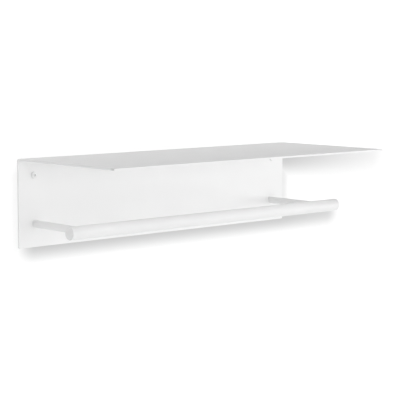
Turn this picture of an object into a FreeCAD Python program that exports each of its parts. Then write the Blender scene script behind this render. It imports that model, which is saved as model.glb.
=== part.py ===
import FreeCAD, Part
import math
import os
import Sketcher

from FreeCAD import Vector

# Wall shelf folded from one sheet, with a round towel rail on two posts.
#
# X runs along the shelf. The wall plane is Y = 0 and the shelf stands on its -Y side. Z is up.
# The origin is on the wall plane, midway between the two wall screws. Lengths are in millimetres.

DIMENSIONS = {
    # folded sheet
    "shelf_length": 600.0,
    "shelf_depth": 250.0,
    "plate_height": 145.0,
    "sheet_thickness": 3.0,
    "bend_inner_radius": 1.0,
    "corner_radius": 2.0,
    "edge_radius": 0.4,
    # wall screws and plugs
    "screw_inset": 30.0,
    "screw_drop": 28.0,
    "wall_hole_diameter": 6.0,
    "wall_screw_diameter": 5.0,
    "wall_screw_length": 50.0,
    "wall_screw_point": 6.0,
    "button_diameter": 11.0,
    "button_height": 3.0,
    "button_dome": 2.2,
    "button_key": 4.0,
    "button_key_depth": 1.8,
    "plug_diameter": 8.0,
    "plug_length": 40.0,
    "plug_setback": 3.0,
    "plug_nose": 1.2,
    "plug_slit_width": 1.0,
    "plug_slit_length": 27.5,
    "plug_groove_width": 1.5,
    "plug_groove_depth": 0.5,
    "plug_groove_start": 12.0,
    "plug_groove_pitch": 4.0,
    "plug_groove_count": 6,
    # rail
    "rail_diameter": 21.3,
    "rail_wall": 2.0,
    "rail_length": 600.0,
    "rail_reach": 138.0,
    "rail_above_bottom": 38.0,
    "rail_end_chamfer": 0.5,
    "slug_length": 42.0,
    "tapped_hole_spare": 1.0,
    # posts and their screws
    "post_diameter": 12.0,
    "post_bore": 5.5,
    "post_inset": 32.0,
    "post_screw_diameter": 5.0,
    "post_screw_length": 140.0,
    "post_screw_tip": 0.8,
    "countersink_diameter": 10.4,
    "countersunk_head": 10.0,
    "countersunk_key": 3.0,
    "countersunk_key_depth": 1.9,
}

DERIVED = {
    "bend_outer_radius": "sheet_thickness + bend_inner_radius",
    "shelf_top": "screw_drop",
    "shelf_underside": "shelf_top - sheet_thickness",
    "plate_bottom": "plate_height - screw_drop",
    "screw_offset": "shelf_length / 2 - screw_inset",
    "post_offset": "shelf_length / 2 - post_inset",
    "rail_drop": "plate_bottom - rail_above_bottom",
    "rail_bore": "rail_diameter - 2 * rail_wall",
    "post_length": "rail_reach - sheet_thickness",
    "slug_offset": "(rail_length - slug_length) / 2",
    "slug_hole_shift": "slug_offset - post_offset",
    "countersink_depth": "(countersink_diameter - post_bore) / 2",
    "head_setback": "(countersink_diameter - countersunk_head) / 2",
    "head_radius": "countersunk_head / 2",
    "post_screw_radius": "post_screw_diameter / 2",
    "post_screw_tip_radius": "post_screw_radius - post_screw_tip",
    "head_base": "head_setback + head_radius - post_screw_radius",
    "post_screw_end": "head_setback + post_screw_length",
    "post_screw_tip_start": "post_screw_end - post_screw_tip",
    "tapped_depth": "post_screw_end + tapped_hole_spare - rail_reach",
    "button_radius": "button_diameter / 2",
    "wall_screw_radius": "wall_screw_diameter / 2",
    "wall_screw_point_start": "wall_screw_length - wall_screw_point",
    "plug_radius": "plug_diameter / 2",
    "plug_nose_radius": "plug_radius - plug_nose",
    "plug_nose_start": "plug_length - plug_nose",
    "plug_slit_start": "plug_length - plug_slit_length",
    "plug_slit_half": "plug_slit_width / 2",
    "plug_groove_floor": "plug_radius - plug_groove_depth",
    "plug_groove_end": "plug_groove_start + plug_groove_width",
    "plug_groove_span": "plug_groove_pitch * (plug_groove_count - 1)",
}

SIDES = {"left": "-", "right": ""}
SMOOTH_JOIN = math.radians(20)

doc = FreeCAD.newDocument("wall_shelf")


# ------------------------------------------------------------------ spreadsheet

def make_sheet():
    """Each driving dimension in a cell with an alias, then the sizes worked out from them."""
    cells = doc.addObject("Spreadsheet::Sheet", "dims")
    entries = [(alias, str(value)) for alias, value in DIMENSIONS.items()]
    entries += [(alias, f"={formula}") for alias, formula in DERIVED.items()]
    for row, (alias, content) in enumerate(entries, start=1):
        cells.set(f"A{row}", alias)
        cells.set(f"B{row}", content)
        cells.setAlias(f"B{row}", alias)
    doc.recompute()
    return cells


sheet = make_sheet()


def size(alias):
    return float(getattr(sheet, alias))


# ------------------------------------------------------------------ sketches
# A coordinate is written as an alias, an alias with a minus sign, or "0".

def start_value(term):
    if term == "0":
        return 0.0
    return -size(term[1:]) if term.startswith("-") else size(term)


def bind(sketch, constraint, alias):
    index = sketch.addConstraint(constraint)
    sketch.setExpression(f"Constraints[{index}]", f"dims.{alias}")


def locate(sketch, geometry, point, x_term, y_term):
    """Hold one point of a sketch at its two coordinates from the sketch's origin."""
    for kind, term, axis in (("DistanceX", x_term, -2), ("DistanceY", y_term, -1)):
        if term == "0":
            sketch.addConstraint(Sketcher.Constraint("PointOnObject", geometry, point, axis))
            continue
        alias = term.lstrip("-")
        ends = (geometry, point, -1, 1) if term.startswith("-") else (-1, 1, geometry, point)
        bind(sketch, Sketcher.Constraint(kind, *ends, size(alias)), alias)


def add_circle(sketch, diameter, x_term="0", y_term="0"):
    centre = Vector(start_value(x_term), start_value(y_term), 0)
    circle = sketch.addGeometry(Part.Circle(centre, Vector(0, 0, 1), size(diameter) / 2))
    bind(sketch, Sketcher.Constraint("Diameter", circle, size(diameter)), diameter)
    locate(sketch, circle, 3, x_term, y_term)


def add_polygon(sketch, corners):
    points = [Vector(start_value(x), start_value(y), 0) for x, y in corners]
    ends = points[1:] + points[:1]
    lines = [sketch.addGeometry(Part.LineSegment(a, b)) for a, b in zip(points, ends)]
    for line, following in zip(lines, lines[1:] + lines[:1]):
        sketch.addConstraint(Sketcher.Constraint("Coincident", line, 2, following, 1))
    for line, (x_term, y_term) in zip(lines, corners):
        locate(sketch, line, 1, x_term, y_term)


def add_hexagon(sketch, across_flats):
    """A regular hexagon about the sketch's origin, one pair of flats upright."""
    reach = size(across_flats) / math.sqrt(3)
    turns = [math.radians(30 + 60 * i) for i in range(6)]
    points = [Vector(reach * math.cos(a), reach * math.sin(a), 0) for a in turns]
    ends = points[1:] + points[:1]
    lines = [sketch.addGeometry(Part.LineSegment(a, b)) for a, b in zip(points, ends)]
    rim = sketch.addGeometry(Part.Circle(Vector(0, 0, 0), Vector(0, 0, 1), reach), True)
    sketch.addConstraint(Sketcher.Constraint("Coincident", rim, 3, -1, 1))
    for line, following in zip(lines, lines[1:] + lines[:1]):
        sketch.addConstraint(Sketcher.Constraint("Coincident", line, 2, following, 1))
        sketch.addConstraint(Sketcher.Constraint("PointOnObject", line, 1, rim))
    for line in lines[1:]:
        sketch.addConstraint(Sketcher.Constraint("Equal", lines[0], line))
    sketch.addConstraint(Sketcher.Constraint("Vertical", lines[5]))
    bind(sketch, Sketcher.Constraint("Distance", lines[5], 2, lines[2], size(across_flats)),
         across_flats)


# ------------------------------------------------------------------ features

def make_body(label, x="0", y="0", z="0"):
    """A body whose place is bound to the sheet."""
    body = doc.addObject("PartDesign::Body", label)
    body.Label = label
    for axis, term in zip("xyz", (x, y, z)):
        if term != "0":
            formula = term.replace("-", "-dims.") if "-" in term else f"dims.{term}"
            body.setExpression(f"Placement.Base.{axis}", formula)
    return body


def make_sketch(body, role, offset=None):
    """A sketch on one of the body's origin planes, or moved along that plane's normal by offset."""
    sketch = body.newObject("Sketcher::SketchObject", f"{body.Name}_sketch")
    plane = next(f for f in body.Origin.OriginFeatures if f.Role == role)
    sketch.AttachmentSupport = (plane, "")
    sketch.MapMode = "FlatFace"
    if offset:
        sketch.setExpression("AttachmentOffset.Base.z", f"dims.{offset}")
    return sketch


def make_pad(body, sketch, length, symmetric=False):
    pad = body.newObject("PartDesign::Pad", f"{body.Name}_pad")
    pad.Profile = sketch
    pad.setExpression("Length", f"dims.{length}")
    pad.Midplane = symmetric
    doc.recompute()
    return pad


def make_cut(body, sketch, length=None, reverse=False, symmetric=False):
    """A pocket, through everything unless a length is given. It must take material away."""
    before = body.Shape.Volume
    cut = body.newObject("PartDesign::Pocket", f"{body.Name}_pocket")
    cut.Profile = sketch
    cut.Reversed = reverse
    cut.Midplane = symmetric
    if length:
        cut.setExpression("Length", f"dims.{length}")
    else:
        cut.Type = "ThroughAll"
    doc.recompute()
    if body.Shape.Volume >= before - 1e-6:
        raise RuntimeError(f"{body.Label}: a pocket removed nothing")
    return cut


def make_revolved(body, sketch):
    turned = body.newObject("PartDesign::Revolution", f"{body.Name}_revolution")
    turned.Profile = sketch
    turned.ReferenceAxis = (sketch, ["V_Axis"])
    turned.Angle = 360
    doc.recompute()
    return turned


def dress(body, kind, alias, wanted):
    """Fillet or chamfer every edge of the body that wanted(edge, shape) picks."""
    base = body.Tip
    edges = base.Shape.Edges
    names = [f"Edge{i}" for i, edge in enumerate(edges, start=1) if wanted(edge, base.Shape)]
    if not names:
        raise RuntimeError(f"{body.Label}: no edge to {kind.lower()}")
    feature = body.newObject(f"PartDesign::{kind}", f"{body.Name}_{kind.lower()}")
    feature.Base = (base, names)
    feature.setExpression("Radius" if kind == "Fillet" else "Size", f"dims.{alias}")
    doc.recompute()
    return feature


def is_circle(edge, diameter):
    return edge.Curve.TypeId == "Part::GeomCircle" and abs(edge.Curve.Radius * 2 - diameter) < 1e-6


def runs_along(edge, axis):
    if edge.Curve.TypeId != "Part::GeomLine":
        return False
    return edge.Curve.Direction.cross(axis).Length < 1e-6


def is_sharp(edge, shape):
    """True where the edge's two faces meet at an angle."""
    middle = edge.valueAt((edge.FirstParameter + edge.LastParameter) / 2)
    normals = [face.normalAt(*face.Surface.parameter(middle))
               for face in shape.ancestorsOfType(edge, Part.Face)]
    return len(normals) == 2 and normals[0].getAngle(normals[1]) > SMOOTH_JOIN


X_AXIS, Y_AXIS, Z_AXIS = Vector(1, 0, 0), Vector(0, 1, 0), Vector(0, 0, 1)


# ------------------------------------------------------------------ pieces

def make_shelf_panel():
    """One sheet: the plate on the wall, the bend at its top edge and the shelf."""
    body = make_body("shelf_panel")
    profile = make_sketch(body, "YZ_Plane")
    add_polygon(profile, [
        ("0", "-plate_bottom"),
        ("0", "shelf_top"),
        ("-shelf_depth", "shelf_top"),
        ("-shelf_depth", "shelf_underside"),
        ("-sheet_thickness", "shelf_underside"),
        ("-sheet_thickness", "-plate_bottom"),
    ])
    make_pad(body, profile, "shelf_length", symmetric=True)

    def at(edge, y, z):
        centre = edge.CenterOfMass
        return runs_along(edge, X_AXIS) and abs(centre.y - y) < 1e-6 and abs(centre.z - z) < 1e-6

    thickness, underside = size("sheet_thickness"), size("shelf_underside")
    dress(body, "Fillet", "bend_outer_radius", lambda e, s: at(e, 0, size("shelf_top")))
    dress(body, "Fillet", "bend_inner_radius", lambda e, s: at(e, -thickness, underside))

    holes = make_sketch(body, "XZ_Plane")
    for sign in SIDES.values():
        add_circle(holes, "wall_hole_diameter", f"{sign}screw_offset", "0")
        add_circle(holes, "post_bore", f"{sign}post_offset", "-rail_drop")
    make_cut(body, holes, "sheet_thickness", reverse=True)
    dress(body, "Chamfer", "countersink_depth",
          lambda e, s: is_circle(e, size("post_bore")) and abs(e.CenterOfMass.y) < 1e-6)

    def is_free_corner(edge, shape):
        centre = edge.CenterOfMass
        on_shelf = runs_along(edge, Z_AXIS) and abs(centre.y + size("shelf_depth")) < 1e-6
        on_plate = runs_along(edge, Y_AXIS) and abs(centre.z + size("plate_bottom")) < 1e-6
        return on_shelf or on_plate

    dress(body, "Fillet", "corner_radius", is_free_corner)
    dress(body, "Fillet", "edge_radius",
          lambda e, s: is_sharp(e, s) and not e.isClosed())
    return body


def make_rail_tube():
    body = make_body("rail_tube", y="-rail_reach", z="-rail_drop")
    ring = make_sketch(body, "YZ_Plane")
    add_circle(ring, "rail_diameter")
    add_circle(ring, "rail_bore")
    make_pad(body, ring, "rail_length", symmetric=True)
    holes = make_sketch(body, "XZ_Plane")
    for sign in SIDES.values():
        add_circle(holes, "post_bore", f"{sign}post_offset", "0")
    make_cut(body, holes)
    dress(body, "Chamfer", "rail_end_chamfer", lambda e, s: is_circle(e, size("rail_diameter")))
    return body


def make_rail_end_slug(side, sign):
    """Turned slug pressed into the rail's end, flush with it, tapped across for the post's screw."""
    body = make_body(f"rail_end_slug_{side}", f"{sign}slug_offset", "-rail_reach", "-rail_drop")
    disc = make_sketch(body, "YZ_Plane")
    add_circle(disc, "rail_bore")
    make_pad(body, disc, "slug_length", symmetric=True)
    tapping = make_sketch(body, "XZ_Plane", offset="tapped_depth")
    inward = "" if sign == "-" else "-"
    add_circle(tapping, "post_screw_diameter", f"{inward}slug_hole_shift", "0")
    make_cut(body, tapping)
    return body


def make_rail_post(side, sign):
    """Tubular post: square end on the plate, the other end hollowed to sit round the rail."""
    body = make_body(f"rail_post_{side}", f"{sign}post_offset", "-sheet_thickness", "-rail_drop")
    ring = make_sketch(body, "XZ_Plane")
    add_circle(ring, "post_diameter")
    add_circle(ring, "post_bore")
    make_pad(body, ring, "post_length")
    saddle = make_sketch(body, "YZ_Plane")
    add_circle(saddle, "rail_diameter", "-post_length", "0")
    make_cut(body, saddle, "post_length", symmetric=True)
    return body


def make_post_screw(side, sign):
    """Long countersunk screw from behind the plate; its thread is a plain cylinder."""
    body = make_body(f"post_screw_{side}", f"{sign}post_offset", "0", "-rail_drop")
    profile = make_sketch(body, "XY_Plane")
    add_polygon(profile, [
        ("0", "-head_setback"),
        ("head_radius", "-head_setback"),
        ("post_screw_radius", "-head_base"),
        ("post_screw_radius", "-post_screw_tip_start"),
        ("post_screw_tip_radius", "-post_screw_end"),
        ("0", "-post_screw_end"),
    ])
    make_revolved(body, profile)
    key = make_sketch(body, "XZ_Plane", offset="head_setback")
    add_hexagon(key, "countersunk_key")
    make_cut(body, key, "countersunk_key_depth", reverse=True)
    return body


def make_wall_screw(side, sign):
    """Button-head screw; its head stands on the plate's front and its shank goes into the wall."""
    body = make_body(f"wall_screw_{side}", f"{sign}screw_offset", "-sheet_thickness", "0")
    profile = make_sketch(body, "XY_Plane")
    add_polygon(profile, [
        ("0", "-button_height"),
        ("button_radius", "-button_height"),
        ("button_radius", "0"),
        ("wall_screw_radius", "0"),
        ("wall_screw_radius", "wall_screw_point_start"),
        ("0", "wall_screw_length"),
    ])
    make_revolved(body, profile)
    dress(body, "Fillet", "button_dome",
          lambda e, s: is_circle(e, size("button_diameter"))
          and abs(e.Curve.Center.y + size("button_height")) < 1e-6)
    key = make_sketch(body, "XZ_Plane", offset="button_height")
    add_hexagon(key, "button_key")
    make_cut(body, key, "button_key_depth")
    return body


def make_wall_plug(side, sign):
    """Nylon plug in the wall, slit at its front end, with grooves that bite."""
    body = make_body(f"wall_plug_{side}", f"{sign}screw_offset", "plug_setback", "0")
    profile = make_sketch(body, "XY_Plane")
    add_polygon(profile, [
        ("wall_screw_radius", "0"),
        ("plug_radius", "0"),
        ("plug_radius", "plug_nose_start"),
        ("plug_nose_radius", "plug_length"),
        ("wall_screw_radius", "plug_length"),
    ])
    make_revolved(body, profile)
    slit = make_sketch(body, "YZ_Plane")
    add_polygon(slit, [
        ("plug_slit_start", "-plug_slit_half"),
        ("plug_length", "-plug_slit_half"),
        ("plug_length", "plug_slit_half"),
        ("plug_slit_start", "plug_slit_half"),
    ])
    make_cut(body, slit, "plug_diameter", symmetric=True)
    teeth = make_sketch(body, "XY_Plane")
    add_polygon(teeth, [
        ("plug_groove_floor", "plug_groove_start"),
        ("plug_diameter", "plug_groove_start"),
        ("plug_diameter", "plug_groove_end"),
        ("plug_groove_floor", "plug_groove_end"),
    ])
    groove = body.newObject("PartDesign::Groove", f"{body.Name}_groove")
    groove.Profile = teeth
    groove.ReferenceAxis = (teeth, ["V_Axis"])
    groove.Angle = 360
    doc.recompute()
    pattern = body.newObject("PartDesign::LinearPattern", f"{body.Name}_pattern")
    pattern.Originals = [groove]
    pattern.Direction = (teeth, ["V_Axis"])
    pattern.setExpression("Length", "dims.plug_groove_span")
    pattern.setExpression("Occurrences", "dims.plug_groove_count")
    body.Tip = pattern
    doc.recompute()
    return body


# ------------------------------------------------------------------ build, check and write

def build():
    bodies = [make_shelf_panel(), make_rail_tube()]
    for side, sign in SIDES.items():
        for make in (make_rail_end_slug, make_rail_post, make_post_screw,
                     make_wall_screw, make_wall_plug):
            bodies.append(make(side, sign))
    doc.recompute()
    return bodies


def check(bodies):
    for item in doc.Objects:
        if {"Invalid", "Error"} & set(item.State):
            raise RuntimeError(f"{item.Label} failed to recompute: {item.State}")
    for body in bodies:
        shape = body.Shape
        if shape.isNull() or not shape.isValid() or len(shape.Solids) != 1:
            raise RuntimeError(f"{body.Label} isn't one valid solid")


def write(bodies):
    os.makedirs("parts", exist_ok=True)
    for body in bodies:
        body.Shape.exportStep(os.path.join("parts", f"{body.Label}.step"))
        box = body.Shape.BoundBox
        print(f"{body.Label:22s} {body.Shape.Volume:12.1f} mm3  "
              f"X {box.XMin:8.2f} {box.XMax:8.2f}  Y {box.YMin:8.2f} {box.YMax:8.2f}  "
              f"Z {box.ZMin:8.2f} {box.ZMax:8.2f}")


model = build()
check(model)
write(model)
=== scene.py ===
"""Looks for the wall shelf with a towel rail: coated sheet, rail and posts, screws and wall plugs."""
import math

import bmesh
import bpy
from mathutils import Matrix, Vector


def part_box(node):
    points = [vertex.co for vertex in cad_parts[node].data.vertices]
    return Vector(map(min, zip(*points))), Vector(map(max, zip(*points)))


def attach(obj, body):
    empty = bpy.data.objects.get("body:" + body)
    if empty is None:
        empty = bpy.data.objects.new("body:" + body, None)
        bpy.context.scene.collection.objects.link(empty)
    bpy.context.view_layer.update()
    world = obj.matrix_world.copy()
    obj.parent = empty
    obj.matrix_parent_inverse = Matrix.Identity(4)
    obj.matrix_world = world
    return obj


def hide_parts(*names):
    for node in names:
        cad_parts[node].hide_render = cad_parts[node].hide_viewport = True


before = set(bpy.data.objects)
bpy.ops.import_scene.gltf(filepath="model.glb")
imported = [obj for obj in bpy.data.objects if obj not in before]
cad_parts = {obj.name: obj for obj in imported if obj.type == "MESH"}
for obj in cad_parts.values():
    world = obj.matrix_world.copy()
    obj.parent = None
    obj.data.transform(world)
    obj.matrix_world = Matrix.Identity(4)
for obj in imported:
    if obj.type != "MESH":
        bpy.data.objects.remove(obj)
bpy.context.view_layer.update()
MM = 0.001

PANEL_LOW, PANEL_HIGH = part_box("shelf_panel")
RAIL_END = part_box("rail_tube")[1].x
SHELF_DEPTH = PANEL_HIGH.y - PANEL_LOW.y
SHEET = 3 * MM
PLATE_FRONT = PANEL_HIGH.y - SHEET

# camera: where it stands round the shelf, and how far from the panel's middle it aims
CAMERA_AZIMUTH = math.radians(-41.933)
CAMERA_ELEVATION = math.radians(6.238)
CAMERA_DISTANCE = 2.30
CAMERA_LENS = 123.12
AIM_OFFSET = Vector((-0.0106, 0.0095, -0.0055))

# powder coat: its white on each part, the sizes of its features and how rough it is; the rail's white is
# darker than the sheet's as painted shade, for one and the same coat
SHEET_WHITE = 0.86
RAIL_SHADED_WHITE = 0.79
COAT_SHADES = (0.985, 1.0)
DRIFT_SIZE = 90 * MM
GRAIN_SIZE = 0.5 * MM
PEEL_SIZE = 1.6 * MM
PEEL_HEIGHT = 0.05 * MM
FINE_SIZE = 0.35 * MM
FINE_HEIGHT = 0.012 * MM
COAT_BUMP = 0.8
MATT_SIZE = 2.2 * MM
COAT_ROUGHNESS = (0.50, 0.60)
COAT_IOR = 1.5

# thin coat, and painted shade on the sheet's cut ends: how much darker and smoother it is, and how strong on
# each edge
THIN_COAT_AND_SHADE_DARKER = 0.35
THIN_SMOOTHER = 0.12
EDGE_BORDER = (0.3 * MM, 0.8 * MM)
EDGE_UNEVEN = 0.4 * MM
# how much the sheet's cut ends are darkened, partly thin coat and partly painted shade, and how much more at
# the front corners
PLATE_END_WEAR_AND_SHADE = 0.15
SHELF_END_WEAR_AND_SHADE = 0.25
CORNER_DARKENING = 0.6
CORNER_REACH = (3 * MM, 12 * MM)
BEND_REACH = (12 * MM, 2 * MM)
BOTTOM_WEAR = 0.1
RAIL_END_WEAR = 0.15

# the other materials: ranges of shade and roughness, and slight tints
ZINC_SHADE = (0.50, 0.66)
ZINC_ROUGHNESS = (0.42, 0.26)
ZINC_TINT = (0.98, 1.0, 1.03)
SCREW_WHITE = (0.82, 0.86)
SCREW_STEEL = (0.50, 0.64)
SCREW_ROUGHNESS = (0.32, 0.44)
COAT_END = (0.2 * MM, 0.6 * MM)
COAT_END_UNEVEN = 0.6 * MM
NYLON_SHADE = (0.30, 0.36)
NYLON_ROUGHNESS = (0.42, 0.55)
NYLON_TINT = (1.0, 1.01, 1.02)

# a noise texture's values lie mostly between these two
NOISE_LOW = 0.3
NOISE_HIGH = 0.7

# screws
SCREW_RADIUS = 2.5 * MM
EDGE_BREAK = 0.15 * MM
RING_SEGMENTS = 48
THREAD_RINGS = 10
SHARP_ANGLE = math.radians(35)
BLUNT_TIP = 0.06
BUTTON_RADIUS = 5.5 * MM
BUTTON_HEIGHT = 3 * MM
BUTTON_DOME = 2.2 * MM
BUTTON_KEY = 4 * MM
BUTTON_KEY_DEPTH = 1.8 * MM
BUTTON_KEY_FLOOR = BUTTON_KEY * 0.96
BUTTON_KEY_MOUTH = BUTTON_KEY * 1.10
BUTTON_LEAD_IN = 0.25 * MM
BUTTON_DIMPLE = 0.4 * MM
DOME_STEPS = 10
WOOD_PITCH = 2.2 * MM
WOOD_DEPTH = 0.75 * MM
WOOD_SHANK = 6 * MM
WOOD_POINT = 6 * MM
COUNTERSUNK_HEAD = 10 * MM
COUNTERSUNK_KEY = 3 * MM
COUNTERSUNK_KEY_DEPTH = 1.9 * MM
COUNTERSUNK_KEY_MOUTH = COUNTERSUNK_KEY * 1.12
COUNTERSUNK_LEAD_IN = 0.2 * MM
COUNTERSUNK_DIMPLE = 0.3 * MM
COUNTERSUNK_EDGE = 0.05 * MM
METRIC_PITCH = 0.8 * MM
METRIC_DEPTH = 0.45 * MM
METRIC_CHAMFER = 3 * METRIC_PITCH
POST_THREAD = 16 * MM
DIMPLE_DEPTH = 0.4 * MM

# lights: each softbox has its place, width and height, and power
SOFTBOXES = {
    "front_softbox": ((0.2, -3.2, 0.3), (4.0, 3.0), 46),
    "right_softbox": ((2.2, -1.2, -0.15), (0.6, 0.6), 11.3),
    "top_softbox": ((-1.6, -0.6, 1.5), (0.8, 0.8), 5.4),
    "rear_softbox": ((-0.8, 2.6, 0.6), (2.6, 1.8), 40),
}
HORIZON_LIGHT = 0.8
HORIZON_TOP = 0.2
ZENITH_LIGHT = 0.02
ZENITH_START = 0.8

# room: glow is light that the wall and floor give off themselves, and most of the wall's brightness
WALL_WHITE = 0.36
WALL_TEXTURE = (0.96, 1.0)
WALL_GLOW = 0.72
WALL_ROUGHNESS = 0.95
WALL_SPECULAR = 0.1
WALL_HALF_WIDTH = 3.0
WALL_HEIGHT = 2.4
WALL_CUT_MARGIN = 1.5 * MM
FLOOR_WHITE = (0.83, 0.86)
FLOOR_GLOW = 0.24
FLOOR_ROUGHNESS = 0.8
FLOOR_DROP = 1.2
FLOOR_SIZE = 40.0

# painted soft shade on the wall below the plate and rail: distances from the plate's edges
BELOW_DARKNESS = (0.44, 0.34)
BELOW_DOWN = (2 * MM, 37 * MM)
BELOW_UP = 21 * MM
BELOW_LEFT = (34 * MM, 16 * MM)
BELOW_RIGHT = (125 * MM, 175 * MM)

# painted soft shade under the shelf's right end, past the plate
UNDER_DARKNESS = (0.42, 0.12)
UNDER_SPAN = (20 * MM, 330 * MM)
UNDER_DROP = 30 * MM
UNDER_REACH = (47 * MM, 80 * MM)
UNDER_REACH_SPAN = 300 * MM
UNDER_SLANT = (28 * MM, 2 * MM)
UNDER_SLANT_SPAN = 270 * MM
UNDER_LEFT = 40 * MM
UNDER_RIGHT = (255 * MM, 335 * MM)

# painted soft shade beside the plate, weaker at its left end
BESIDE_DARKNESS = (0.10, 0.24)
BESIDE_WIDTH = 30 * MM
BESIDE_DOWN = 20 * MM


# ------------------------------------------------------------------ node helpers

class Shader:
    """A material's node tree with one Principled BSDF, and short ways to add to it."""

    def __init__(self, name):
        self.material = bpy.data.materials.new(name)
        self.material.use_nodes = True
        self.nodes = self.material.node_tree.nodes
        self.links = self.material.node_tree.links
        self.bsdf = self.nodes["Principled BSDF"]
        self.output = self.nodes["Material Output"]
        self.position = self.nodes.new("ShaderNodeTexCoord").outputs["Object"]

    def link(self, source, target):
        if isinstance(source, (int, float)):
            target.default_value = source
        else:
            self.links.new(source, target)

    def noise(self, feature, detail=2.0):
        """Noise whose largest lumps are about feature metres across."""
        node = self.nodes.new("ShaderNodeTexNoise")
        node.inputs["Scale"].default_value = 1.0 / feature
        node.inputs["Detail"].default_value = detail
        node.inputs["Roughness"].default_value = 0.5
        self.link(self.position, node.inputs["Vector"])
        return node.outputs["Fac"]

    def math(self, operation, first, second=0.0, third=0.0):
        node = self.nodes.new("ShaderNodeMath")
        node.operation = operation
        for value, socket in zip((first, second, third), node.inputs):
            self.link(value, socket)
        return node.outputs[0]

    def product(self, *factors):
        total = factors[0]
        for factor in factors[1:]:
            total = self.math("MULTIPLY", total, factor)
        return total

    def remap(self, value, low, high, new_low, new_high, smooth=False):
        node = self.nodes.new("ShaderNodeMapRange")
        node.interpolation_type = "SMOOTHSTEP" if smooth else "LINEAR"
        for number, name in ((low, "From Min"), (high, "From Max"),
                             (new_low, "To Min"), (new_high, "To Max")):
            node.inputs[name].default_value = number
        self.link(value, node.inputs["Value"])
        return node.outputs["Result"]

    def fade(self, value, start, end):
        """1 up to start, falling smoothly to 0 at end; either may be the larger."""
        return self.remap(value, start, end, 1.0, 0.0, smooth=True)

    def stretch(self, noise, low, high):
        """Noise remapped to run from low to high."""
        return self.remap(noise, NOISE_LOW, NOISE_HIGH, low, high)

    def split(self):
        node = self.nodes.new("ShaderNodeSeparateXYZ")
        self.link(self.position, node.inputs[0])
        return node.outputs

    def grey(self, value, tint=(1.0, 1.0, 1.0)):
        node = self.nodes.new("ShaderNodeCombineColor")
        for weight, socket in zip(tint, node.inputs):
            self.link(self.math("MULTIPLY", value, weight), socket)
        return node.outputs[0]

    def bump(self, height, distance, strength=1.0, normal=None):
        node = self.nodes.new("ShaderNodeBump")
        node.inputs["Distance"].default_value = distance
        node.inputs["Strength"].default_value = strength
        self.link(height, node.inputs["Height"])
        if normal:
            self.link(normal, node.inputs["Normal"])
        return node.outputs["Normal"]

    def finish(self, colour, roughness, normal=None):
        """Set the shader's colour, roughness and bumps, and give its material."""
        self.link(colour, self.bsdf.inputs["Base Color"])
        self.link(roughness, self.bsdf.inputs["Roughness"])
        if normal:
            self.link(normal, self.bsdf.inputs["Normal"])
        return self.material


# ------------------------------------------------------------------ materials

def powder_coat(shader, white, wear):
    """Fine matt powder coat: orange peel, finer grain, a faint drift in tone, and a darker, smoother coat
    where wear is 1: thin coat, and on the sheet's cut ends painted shade as well.
    """
    drift = shader.stretch(shader.noise(DRIFT_SIZE, detail=1.0), *COAT_SHADES)
    grain = shader.stretch(shader.noise(GRAIN_SIZE, detail=3.0), *COAT_SHADES)
    thin = shader.math("MULTIPLY_ADD", wear, -THIN_COAT_AND_SHADE_DARKER, 1.0)
    value = shader.product(drift, grain, white, thin)
    matt = shader.stretch(shader.noise(MATT_SIZE), *COAT_ROUGHNESS)
    roughness = shader.math("MULTIPLY_ADD", wear, -THIN_SMOOTHER, matt)
    peel = shader.bump(shader.noise(PEEL_SIZE, detail=1.5), PEEL_HEIGHT, COAT_BUMP)
    fine = shader.bump(shader.noise(FINE_SIZE), FINE_HEIGHT, COAT_BUMP, normal=peel)
    shader.bsdf.inputs["IOR"].default_value = COAT_IOR
    return shader.finish(shader.grey(value), roughness, fine)


def edge_wear_and_shade(shader, distance, lumps):
    """1 on a cut edge and 0 from about a millimetre away, with an uneven border."""
    uneven = shader.math("MULTIPLY_ADD", lumps, EDGE_UNEVEN, distance)
    return shader.fade(uneven, *EDGE_BORDER)


def sheet_coat():
    """Powder coat on the folded sheet; its cut ends are darker and smoother, partly thin coat and partly
    painted shade, and darkest at the shelf's front corners.
    """
    shader = Shader("sheet_powder_coat")
    x, y, z = shader.split()
    side = shader.math("SUBTRACT", PANEL_HIGH.x, shader.math("ABSOLUTE", x))
    front = shader.math("SUBTRACT", y, PANEL_LOW.y)
    bottom = shader.math("SUBTRACT", z, PANEL_LOW.z)
    lumps = shader.noise(6 * MM)
    shelf = shader.fade(front, SHELF_DEPTH - BEND_REACH[0], SHELF_DEPTH - BEND_REACH[1])
    # painted shade with thin coat: the plate's and shelf's cut ends are darkened, most at the shelf's front
    # corners
    ends = shader.math("MULTIPLY_ADD", shelf, SHELF_END_WEAR_AND_SHADE, PLATE_END_WEAR_AND_SHADE)
    corners = shader.fade(front, *CORNER_REACH)
    amount = shader.math("MULTIPLY_ADD", corners, CORNER_DARKENING, ends)
    worn_and_shaded_ends = shader.product(edge_wear_and_shade(shader, side, lumps), amount)
    worn_bottom = shader.product(edge_wear_and_shade(shader, bottom, lumps), BOTTOM_WEAR)
    return powder_coat(shader, SHEET_WHITE, shader.math("MAXIMUM", worn_and_shaded_ends, worn_bottom))


def rail_coat():
    """Powder coat on the rail and its posts, in a darker white that paints their shade, thinner round the
    rail's ends.
    """
    shader = Shader("rail_powder_coat")
    x = shader.split()[0]
    end = shader.math("SUBTRACT", RAIL_END, shader.math("ABSOLUTE", x))
    wear = shader.product(edge_wear_and_shade(shader, end, shader.noise(4 * MM)), RAIL_END_WEAR)
    # painted shade: the rail's coat is given a darker white than the sheet's
    return powder_coat(shader, RAIL_SHADED_WHITE, wear)


def zinc():
    """Bright zinc plate with dull patches and a fine grain."""
    shader = Shader("zinc_plate")
    shader.bsdf.inputs["Metallic"].default_value = 1.0
    patches = shader.noise(3 * MM, detail=3.0)
    colour = shader.grey(shader.stretch(patches, *ZINC_SHADE), ZINC_TINT)
    roughness = shader.stretch(patches, *ZINC_ROUGHNESS)
    return shader.finish(colour, roughness, shader.bump(shader.noise(0.4 * MM), 0.01 * MM))


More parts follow.
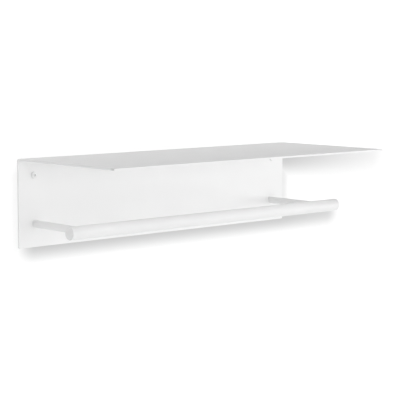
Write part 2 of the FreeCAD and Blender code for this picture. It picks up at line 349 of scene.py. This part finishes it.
def coated_screw():
    """White satin coat on the head, and bare zinc past the plate's front."""
    shader = Shader("coated_screw")
    y = shader.split()[1]
    uneven = shader.math("MULTIPLY_ADD", shader.noise(1.5 * MM), COAT_END_UNEVEN, y)
    bare = shader.remap(uneven, PLATE_FRONT + COAT_END[0], PLATE_FRONT + COAT_END[1], 0.0, 1.0)
    mix = shader.nodes.new("ShaderNodeMix")
    shader.link(bare, mix.inputs[0])
    shader.link(shader.stretch(shader.noise(0.5 * MM), *SCREW_WHITE), mix.inputs[2])
    shader.link(shader.stretch(shader.noise(3 * MM), *SCREW_STEEL), mix.inputs[3])
    shader.link(bare, shader.bsdf.inputs["Metallic"])
    roughness = shader.stretch(shader.noise(1.2 * MM), *SCREW_ROUGHNESS)
    bumps = shader.bump(shader.noise(0.5 * MM), 0.015 * MM)
    return shader.finish(shader.grey(mix.outputs[0]), roughness, bumps)


def nylon():
    """Moulded grey nylon: satin, slightly cloudy, with a fine spark-eroded grain."""
    shader = Shader("moulded_nylon")
    colour = shader.grey(shader.stretch(shader.noise(8 * MM), *NYLON_SHADE), NYLON_TINT)
    roughness = shader.stretch(shader.noise(0.8 * MM), *NYLON_ROUGHNESS)
    return shader.finish(colour, roughness, shader.bump(shader.noise(0.3 * MM), 0.02 * MM))


# ------------------------------------------------------------------ screws
# An outline is a list of rings: each has its place along the screw, and a function that gives the
# radius at an angle and a place.

def circle(radius):
    return lambda angle, y: radius


def hexagon(across_flats):
    sixth = math.pi / 3
    return lambda angle, y: across_flats / 2 / math.cos((angle + sixth / 2) % sixth - sixth / 2)


def thread(depth, pitch, start, length, tip):
    """A right-hand thread from start to length, growing out of the shank and narrowing over the last tip."""
    root = SCREW_RADIUS - depth

    def radius(angle, y):
        ridge = (0.5 + 0.5 * math.cos(math.tau * (y / pitch) - angle)) ** 2
        grown = min(1.0, max(0.0, (y - start) / pitch))
        narrowed = min(1.0, max(BLUNT_TIP, (length - y) / tip))
        return (root + depth * ridge * grown) * narrowed

    return radius


def thread_rings(depth, pitch, start, length, tip):
    radius = thread(depth, pitch, start, length, tip)
    count = round((length - start) / pitch * THREAD_RINGS)
    return [(start + (length - start) * step / count, radius) for step in range(count + 1)]


def button_head():
    """Domed head with a hexagon socket, from the socket's floor out and down to the plate."""
    bends = [math.pi / 2 * step / DOME_STEPS for step in range(DOME_STEPS + 1)]
    dome = [(-BUTTON_HEIGHT + BUTTON_DOME * (1 - math.cos(bend)),
             BUTTON_RADIUS - BUTTON_DOME * (1 - math.sin(bend))) for bend in bends]
    floor = BUTTON_KEY_DEPTH - BUTTON_HEIGHT
    return [
        (floor + DIMPLE_DEPTH, circle(BUTTON_DIMPLE)),
        (floor, hexagon(BUTTON_KEY_FLOOR)),
        (BUTTON_LEAD_IN - BUTTON_HEIGHT, hexagon(BUTTON_KEY)),
        (-BUTTON_HEIGHT, hexagon(BUTTON_KEY_MOUTH)),
        *[(y, circle(radius)) for y, radius in dome],
        (-EDGE_BREAK, circle(BUTTON_RADIUS)),
        (0.0, circle(BUTTON_RADIUS - EDGE_BREAK)),
        (0.0, circle(SCREW_RADIUS)),
    ]


def countersunk_head():
    """Cone-shaped head with a hexagon socket, from the socket's floor out and down to the shank."""
    head = COUNTERSUNK_HEAD / 2
    return [
        (COUNTERSUNK_KEY_DEPTH + DIMPLE_DEPTH, circle(COUNTERSUNK_DIMPLE)),
        (COUNTERSUNK_KEY_DEPTH, hexagon(COUNTERSUNK_KEY)),
        (COUNTERSUNK_LEAD_IN, hexagon(COUNTERSUNK_KEY)),
        (0.0, hexagon(COUNTERSUNK_KEY_MOUTH)),
        (0.0, circle(head - EDGE_BREAK)),
        (EDGE_BREAK, circle(head - COUNTERSUNK_EDGE)),
        (head - SCREW_RADIUS, circle(SCREW_RADIUS)),
    ]


def turned_round(outline):
    """The same outline pointing out of the wall, its thread still right-handed."""
    def flipped(radius):
        return lambda angle, y: radius(math.pi - angle, -y)
    return [(-y, flipped(radius)) for y, radius in outline]


def lathe(name, outline, centre):
    """A closed body round the Y axis through centre."""
    mesh = bmesh.new()
    angles = [math.tau * step / RING_SEGMENTS for step in range(RING_SEGMENTS)]
    rings = []
    for y, radius in outline:
        reaches = [(radius(angle, y), angle) for angle in angles]
        rings.append([mesh.verts.new((centre.x + reach * math.cos(angle), centre.y + y,
                                      centre.z + reach * math.sin(angle))) for reach, angle in reaches])
    for near, far in zip(rings, rings[1:]):
        for step in range(RING_SEGMENTS):
            after = (step + 1) % RING_SEGMENTS
            mesh.faces.new((near[step], near[after], far[after], far[step]))
    mesh.faces.new(rings[0])
    mesh.faces.new(rings[-1])
    bmesh.ops.recalc_face_normals(mesh, faces=mesh.faces)
    body = add_mesh(name, mesh)
    body.data.shade_smooth()
    body.data.set_sharp_from_angle(angle=SHARP_ANGLE)
    return body


def add_mesh(name, mesh):
    data = bpy.data.meshes.new(name)
    mesh.to_mesh(data)
    mesh.free()
    thing = bpy.data.objects.new(name, data)
    bpy.context.scene.collection.objects.link(thing)
    return thing


def make_wall_screw(side, material):
    """Button-head screw: its head stands on the plate and its thread is in the wall plug."""
    node = f"wall_screw_{side}"
    low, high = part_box(node)
    centre = Vector(((low.x + high.x) / 2, PLATE_FRONT, (low.z + high.z) / 2))
    shank = thread_rings(WOOD_DEPTH, WOOD_PITCH, WOOD_SHANK, high.y - centre.y, WOOD_POINT)
    screw = lathe(f"wall_screw_{side}_body", button_head() + shank, centre)
    finish_piece(screw, material, node)


def make_post_screw(side, material):
    """Countersunk screw: its head is flush with the plate's back and its thread is in the rail's slug."""
    node = f"post_screw_{side}"
    low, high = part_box(node)
    centre = Vector(((low.x + high.x) / 2, high.y, (low.z + high.z) / 2))
    length = high.y - low.y
    shank = thread_rings(METRIC_DEPTH, METRIC_PITCH, length - POST_THREAD, length, METRIC_CHAMFER)
    screw = lathe(f"post_screw_{side}_body", turned_round(countersunk_head() + shank), centre)
    finish_piece(screw, material, node)


def finish_piece(piece, material, node):
    piece.data.materials.append(material)
    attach(piece, "root")
    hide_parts(node)


# ------------------------------------------------------------------ wall and floor

def make_wall():
    """A white wall that hides nothing from behind, cut away where the back plate covers it."""
    floor = PANEL_LOW.z - FLOOR_DROP
    xs = [-WALL_HALF_WIDTH, PANEL_LOW.x + WALL_CUT_MARGIN, PANEL_HIGH.x - WALL_CUT_MARGIN, WALL_HALF_WIDTH]
    zs = [floor, PANEL_LOW.z + WALL_CUT_MARGIN, PANEL_HIGH.z - WALL_CUT_MARGIN, floor + WALL_HEIGHT]
    mesh = bmesh.new()
    grid = [[mesh.verts.new((x, PANEL_HIGH.y, z)) for x in xs] for z in zs]
    for row in range(3):
        for column in range(3):
            if (row, column) == (1, 1):
                continue
            mesh.faces.new((grid[row][column], grid[row][column + 1],
                            grid[row + 1][column + 1], grid[row + 1][column]))
    wall = add_mesh("wall", mesh)
    wall.data.materials.append(wall_paint())


def painted_shade_below(shader, x, z):
    """Painted shade on the wall below the plate, which runs on to the right of it."""
    left, right, bottom = PANEL_LOW.x, PANEL_HIGH.x, PANEL_LOW.z
    return shader.product(
        shader.fade(z, bottom + BELOW_DOWN[0], bottom - BELOW_DOWN[1]),
        shader.fade(z, bottom, bottom + BELOW_UP),
        shader.fade(x, left + BELOW_LEFT[0], left - BELOW_LEFT[1]),
        shader.fade(x, right + BELOW_RIGHT[0], right + BELOW_RIGHT[1]),
        shader.remap(x, right, right + BELOW_RIGHT[1], *BELOW_DARKNESS),
    )


def painted_shade_under(shader, x, z):
    """Painted shade under the shelf, right of the plate, which reaches lower and weakens towards the shelf's
    end.
    """
    right, line = PANEL_HIGH.x, PANEL_HIGH.z - UNDER_DROP
    reach = shader.remap(x, right, right + UNDER_REACH_SPAN, *UNDER_REACH)
    drop = shader.math("DIVIDE", shader.math("SUBTRACT", line, z), reach)
    slant = shader.remap(x, right, right + UNDER_SLANT_SPAN, *UNDER_SLANT)
    rise = shader.math("DIVIDE", shader.math("SUBTRACT", z, line), slant)
    return shader.product(
        shader.fade(drop, 0.0, 1.0),
        shader.fade(rise, 0.0, 1.0),
        shader.fade(x, right, right - UNDER_LEFT),
        shader.remap(x, right + UNDER_SPAN[0], right + UNDER_SPAN[1], *UNDER_DARKNESS),
        shader.fade(x, right + UNDER_RIGHT[0], right + UNDER_RIGHT[1]),
    )


def painted_shade_beside(shader, x, z):
    """Painted shade in a narrow strip beside the plate's two ends."""
    left, right = PANEL_LOW.x, PANEL_HIGH.x
    return shader.product(
        shader.fade(shader.math("ABSOLUTE", x), right, right + BESIDE_WIDTH),
        shader.fade(z, PANEL_HIGH.z - UNDER_DROP, PANEL_HIGH.z),
        shader.fade(z, PANEL_LOW.z, PANEL_LOW.z - BESIDE_DOWN),
        shader.remap(x, left, right, *BESIDE_DARKNESS),
    )


def wall_paint():
    """Glowing pale paint, dimmed by painted shade where the object's shadow would fall; clear from behind.
    """
    shader = Shader("wall_paint")
    x, _, z = shader.split()
    # painted shade: the wall's colour and glow are dimmed where the object's shadow would fall
    beside = shader.math("MAXIMUM", painted_shade_under(shader, x, z), painted_shade_beside(shader, x, z))
    shade = shader.math("MAXIMUM", painted_shade_below(shader, x, z), beside)
    light = shader.math("SUBTRACT", 1.0, shade)
    texture = shader.stretch(shader.noise(2 * MM, detail=3.0), *WALL_TEXTURE)
    shader.finish(shader.grey(shader.product(light, texture, WALL_WHITE)), WALL_ROUGHNESS)
    shader.bsdf.inputs["Specular IOR Level"].default_value = WALL_SPECULAR
    shader.bsdf.inputs["Emission Color"].default_value = (1, 1, 1, 1)
    shader.link(shader.product(light, WALL_GLOW), shader.bsdf.inputs["Emission Strength"])
    clear = shader.nodes.new("ShaderNodeBsdfTransparent")
    geometry = shader.nodes.new("ShaderNodeNewGeometry")
    mix = shader.nodes.new("ShaderNodeMixShader")
    shader.link(geometry.outputs["Backfacing"], mix.inputs[0])
    shader.link(shader.bsdf.outputs[0], mix.inputs[1])
    shader.link(clear.outputs[0], mix.inputs[2])
    shader.link(mix.outputs[0], shader.output.inputs["Surface"])
    return shader.material


def floor_paint():
    shader = Shader("floor_paint")
    value = shader.stretch(shader.noise(60 * MM, detail=3.0), *FLOOR_WHITE)
    shader.bsdf.inputs["Emission Color"].default_value = (1, 1, 1, 1)
    shader.bsdf.inputs["Emission Strength"].default_value = FLOOR_GLOW
    return shader.finish(shader.grey(value), FLOOR_ROUGHNESS)


def make_floor():
    bpy.ops.mesh.primitive_plane_add(size=FLOOR_SIZE, location=(0, 0, PANEL_LOW.z - FLOOR_DROP))
    floor = bpy.context.object
    floor.name = "floor"
    floor.data.materials.append(floor_paint())


# ------------------------------------------------------------------ light and camera

def aim(thing, target):
    thing.rotation_euler = (target - thing.location).to_track_quat("-Z", "Y").to_euler()


def make_softbox(name, location, size, power):
    """A soft rectangle of light, aimed at the middle of the shelf and not seen itself."""
    light = bpy.data.lights.new(name, "AREA")
    light.shape = "RECTANGLE"
    light.size, light.size_y = size
    light.energy = power
    lamp = bpy.data.objects.new(name, light)
    bpy.context.scene.collection.objects.link(lamp)
    lamp.location = location
    aim(lamp, Vector((0, PANEL_LOW.y / 2, 0)))
    lamp.visible_camera = False


def make_world():
    """A pale room, bright round the horizon and dim overhead."""
    world = bpy.data.worlds.new("pale_room")
    world.use_nodes = True
    nodes, links = world.node_tree.nodes, world.node_tree.links
    direction = nodes.new("ShaderNodeTexCoord")
    parts = nodes.new("ShaderNodeSeparateXYZ")
    fade = nodes.new("ShaderNodeMapRange")
    fade.interpolation_type = "SMOOTHSTEP"
    for name, value in (("From Min", HORIZON_TOP), ("From Max", ZENITH_START),
                        ("To Min", HORIZON_LIGHT), ("To Max", ZENITH_LIGHT)):
        fade.inputs[name].default_value = value
    links.new(direction.outputs["Generated"], parts.inputs[0])
    links.new(parts.outputs["Z"], fade.inputs["Value"])
    links.new(fade.outputs["Result"], nodes["Background"].inputs["Strength"])
    nodes["Background"].inputs["Color"].default_value = (1, 1, 1, 1)
    bpy.context.scene.world = world


def make_camera():
    target = (PANEL_LOW + PANEL_HIGH) / 2 + AIM_OFFSET
    level = math.cos(CAMERA_ELEVATION)
    back = Vector((math.sin(CAMERA_AZIMUTH) * level, -math.cos(CAMERA_AZIMUTH) * level,
                   math.sin(CAMERA_ELEVATION)))
    data = bpy.data.cameras.new("camera")
    data.lens = CAMERA_LENS
    camera = bpy.data.objects.new("camera", data)
    bpy.context.scene.collection.objects.link(camera)
    camera.location = target + back * CAMERA_DISTANCE
    aim(camera, target)
    bpy.context.scene.camera = camera


# ------------------------------------------------------------------ dress the frame

def dress(prefix, material):
    """Give a material to every CAD node whose name starts with prefix."""
    for name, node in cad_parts.items():
        if name.startswith(prefix):
            for entry in node.material_slots:
                entry.material = material


dress("shelf_panel", sheet_coat())
dress("rail_", rail_coat())
screw_coat, screw_zinc = coated_screw(), zinc()
for side in ("left", "right"):
    make_wall_screw(side, screw_coat)
    make_post_screw(side, screw_zinc)
dress("wall_plug", nylon())
make_wall()
make_floor()
make_world()
for name, (place, size, power) in SOFTBOXES.items():
    make_softbox(name, place, size, power)
make_camera()
bpy.context.scene.view_settings.view_transform = "Standard"
